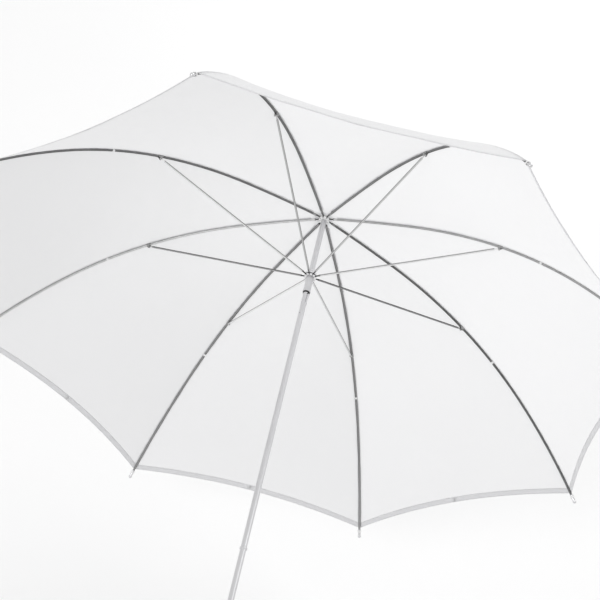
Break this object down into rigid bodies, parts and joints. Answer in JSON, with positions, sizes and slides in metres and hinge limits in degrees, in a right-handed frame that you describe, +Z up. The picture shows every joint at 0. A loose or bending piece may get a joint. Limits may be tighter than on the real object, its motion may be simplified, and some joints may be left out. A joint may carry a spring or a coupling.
{
  "type": "umbrella reflector",
  "caption": "Folding photographic umbrella with a translucent white bowl on curved channel ribs, stretchers and a sliding runner on a slim shaft.",
  "frame": {"origin": "on the shaft axis, in the middle of the free stretch that an umbrella hole grips", "axes": "+Y along the shaft towards the crown, the bowl opens towards -Y, +Z up"},
  "size_m": [0.931, 0.7248, 0.931],
  "materials": {
    "shaft_metal": "satin",
    "crown_white": "gloss",
    "wire": "bright",
    "cloth": "translucent white nylon",
    "plug": "matte",
    "chrome": "polished",
    "sleeve": "satin",
    "rib_steel": "plated",
    "stretcher_steel": "plated",
    "tip": "polished"
  },
  "bodies": {
    "shaft": {"shaft": "shaft_metal", "crown_notch": "crown_white", "crown_wire": "wire", "crown_patch": "cloth", "crown_cap": "crown_white", "catch_pin": "wire", "shaft_plugs": "plug"},
    "catch": {"catch_spring": "shaft_metal"},
    "runner": {"runner_head": "chrome", "runner_sleeve": "sleeve", "runner_bush": "plug", "runner_wire": "wire"},
    "rib_1": {"rib_1": "rib_steel", "rib_tip_1": "tip", "rib_clip_1": "rib_steel", "rib_rivet_1": "rib_steel", "canopy_gore_1": "cloth"},
    "stretcher_1": {"stretcher_1": "stretcher_steel"},
    "rib_2": {"rib_2": "rib_steel", "rib_tip_2": "tip", "rib_clip_2": "rib_steel", "rib_rivet_2": "rib_steel", "canopy_gore_2": "cloth"},
    "stretcher_2": {"stretcher_2": "stretcher_steel"},
    "rib_3": {"rib_3": "rib_steel", "rib_tip_3": "tip", "rib_clip_3": "rib_steel", "rib_rivet_3": "rib_steel", "canopy_gore_3": "cloth"},
    "stretcher_3": {"stretcher_3": "stretcher_steel"},
    "rib_4": {"rib_4": "rib_steel", "rib_tip_4": "tip", "rib_clip_4": "rib_steel", "rib_rivet_4": "rib_steel", "canopy_gore_4": "cloth"},
    "stretcher_4": {"stretcher_4": "stretcher_steel"},
    "rib_5": {"rib_5": "rib_steel", "rib_tip_5": "tip", "rib_clip_5": "rib_steel", "rib_rivet_5": "rib_steel", "canopy_gore_5": "cloth"},
    "stretcher_5": {"stretcher_5": "stretcher_steel"},
    "rib_6": {"rib_6": "rib_steel", "rib_tip_6": "tip", "rib_clip_6": "rib_steel", "rib_rivet_6": "rib_steel", "canopy_gore_6": "cloth"},
    "stretcher_6": {"stretcher_6": "stretcher_steel"},
    "rib_7": {"rib_7": "rib_steel", "rib_tip_7": "tip", "rib_clip_7": "rib_steel", "rib_rivet_7": "rib_steel", "canopy_gore_7": "cloth"},
    "stretcher_7": {"stretcher_7": "stretcher_steel"},
    "rib_8": {"rib_8": "rib_steel", "rib_tip_8": "tip", "rib_clip_8": "rib_steel", "rib_rivet_8": "rib_steel", "canopy_gore_8": "cloth"},
    "stretcher_8": {"stretcher_8": "stretcher_steel"}
  },
  "joints": [
    {"name": "fold", "type": "hinge", "parent": "shaft", "child": "rib_1", "pos_m": [0.0061, 0.623, 0.00253], "axis": [0.3827, 0, -0.9239], "range_deg": [0, 57], "deforming": ["canopy_gore_1", "catch_spring"]},
    {"name": "rib_2_hinge", "type": "hinge", "parent": "shaft", "child": "rib_2", "pos_m": [0.00253, 0.623, 0.0061], "axis": [0.9239, 0, -0.3827], "range_deg": [0, 57], "deforming": ["canopy_gore_2"]},
    {"name": "rib_3_hinge", "type": "hinge", "parent": "shaft", "child": "rib_3", "pos_m": [-0.00253, 0.623, 0.0061], "axis": [0.9239, 0, 0.3827], "range_deg": [0, 57], "deforming": ["canopy_gore_3"]},
    {"name": "rib_4_hinge", "type": "hinge", "parent": "shaft", "child": "rib_4", "pos_m": [-0.0061, 0.623, 0.00253], "axis": [0.3827, 0, 0.9239], "range_deg": [0, 57], "deforming": ["canopy_gore_4"]},
    {"name": "rib_5_hinge", "type": "hinge", "parent": "shaft", "child": "rib_5", "pos_m": [-0.0061, 0.623, -0.00253], "axis": [-0.3827, 0, 0.9239], "range_deg": [0, 57], "deforming": ["canopy_gore_5"]},
    {"name": "rib_6_hinge", "type": "hinge", "parent": "shaft", "child": "rib_6", "pos_m": [-0.00253, 0.623, -0.0061], "axis": [-0.9239, 0, 0.3827], "range_deg": [0, 57], "deforming": ["canopy_gore_6"]},
    {"name": "rib_7_hinge", "type": "hinge", "parent": "shaft", "child": "rib_7", "pos_m": [0.00253, 0.623, -0.0061], "axis": [-0.9239, 0, -0.3827], "range_deg": [0, 57], "deforming": ["canopy_gore_7"]},
    {"name": "rib_8_hinge", "type": "hinge", "parent": "shaft", "child": "rib_8", "pos_m": [0.0061, 0.623, -0.00253], "axis": [-0.3827, 0, -0.9239], "range_deg": [0, 57], "deforming": ["canopy_gore_8"]},
    {"name": "stretcher_1_hinge", "type": "hinge", "parent": "rib_1", "child": "stretcher_1", "pos_m": [0.24131, 0.56873, 0.09995], "axis": [0.3827, 0, -0.9239], "range_deg": [-114, 0]},
    {"name": "stretcher_2_hinge", "type": "hinge", "parent": "rib_2", "child": "stretcher_2", "pos_m": [0.09995, 0.56873, 0.24131], "axis": [0.9239, 0, -0.3827], "range_deg": [-114, 0]},
    {"name": "stretcher_3_hinge", "type": "hinge", "parent": "rib_3", "child": "stretcher_3", "pos_m": [-0.09995, 0.56873, 0.24131], "axis": [0.9239, 0, 0.3827], "range_deg": [-114, 0]},
    {"name": "stretcher_4_hinge", "type": "hinge", "parent": "rib_4", "child": "stretcher_4", "pos_m": [-0.24131, 0.56873, 0.09995], "axis": [0.3827, 0, 0.9239], "range_deg": [-114, 0]},
    {"name": "stretcher_5_hinge", "type": "hinge", "parent": "rib_5", "child": "stretcher_5", "pos_m": [-0.24131, 0.56873, -0.09995], "axis": [-0.3827, 0, 0.9239], "range_deg": [-114, 0]},
    {"name": "stretcher_6_hinge", "type": "hinge", "parent": "rib_6", "child": "stretcher_6", "pos_m": [-0.09995, 0.56873, -0.24131], "axis": [-0.9239, 0, 0.3827], "range_deg": [-114, 0]},
    {"name": "stretcher_7_hinge", "type": "hinge", "parent": "rib_7", "child": "stretcher_7", "pos_m": [0.09995, 0.56873, -0.24131], "axis": [-0.9239, 0, -0.3827], "range_deg": [-114, 0]},
    {"name": "stretcher_8_hinge", "type": "hinge", "parent": "rib_8", "child": "stretcher_8", "pos_m": [0.24131, 0.56873, -0.09995], "axis": [-0.3827, 0, -0.9239], "range_deg": [-114, 0]},
    {"name": "runner_hinge", "type": "hinge", "parent": "stretcher_1", "child": "runner", "pos_m": [0.0061, 0.51447, 0.00253], "axis": [0.3827, 0, -0.9239], "range_deg": [0, 57]},
    {"name": "catch_press", "type": "hinge", "parent": "shaft", "child": "catch", "pos_m": [0.00042, 0.44607, 0.00042], "axis": [-0.7071, 0, 0.7071], "range_deg": [0, 4], "stiffness_Nm_per_rad": 0.02, "springref_deg": -2.86}
  ],
  "couplings": [
    {"joint": "rib_2_hinge", "follows": "fold", "ratio": 1},
    {"joint": "rib_3_hinge", "follows": "fold", "ratio": 1},
    {"joint": "rib_4_hinge", "follows": "fold", "ratio": 1},
    {"joint": "rib_5_hinge", "follows": "fold", "ratio": 1},
    {"joint": "rib_6_hinge", "follows": "fold", "ratio": 1},
    {"joint": "rib_7_hinge", "follows": "fold", "ratio": 1},
    {"joint": "rib_8_hinge", "follows": "fold", "ratio": 1},
    {"joint": "stretcher_1_hinge", "follows": "fold", "ratio": -2},
    {"joint": "stretcher_2_hinge", "follows": "fold", "ratio": -2},
    {"joint": "stretcher_3_hinge", "follows": "fold", "ratio": -2},
    {"joint": "stretcher_4_hinge", "follows": "fold", "ratio": -2},
    {"joint": "stretcher_5_hinge", "follows": "fold", "ratio": -2},
    {"joint": "stretcher_6_hinge", "follows": "fold", "ratio": -2},
    {"joint": "stretcher_7_hinge", "follows": "fold", "ratio": -2},
    {"joint": "stretcher_8_hinge", "follows": "fold", "ratio": -2},
    {"joint": "runner_hinge", "follows": "fold", "ratio": 1}
  ]
}
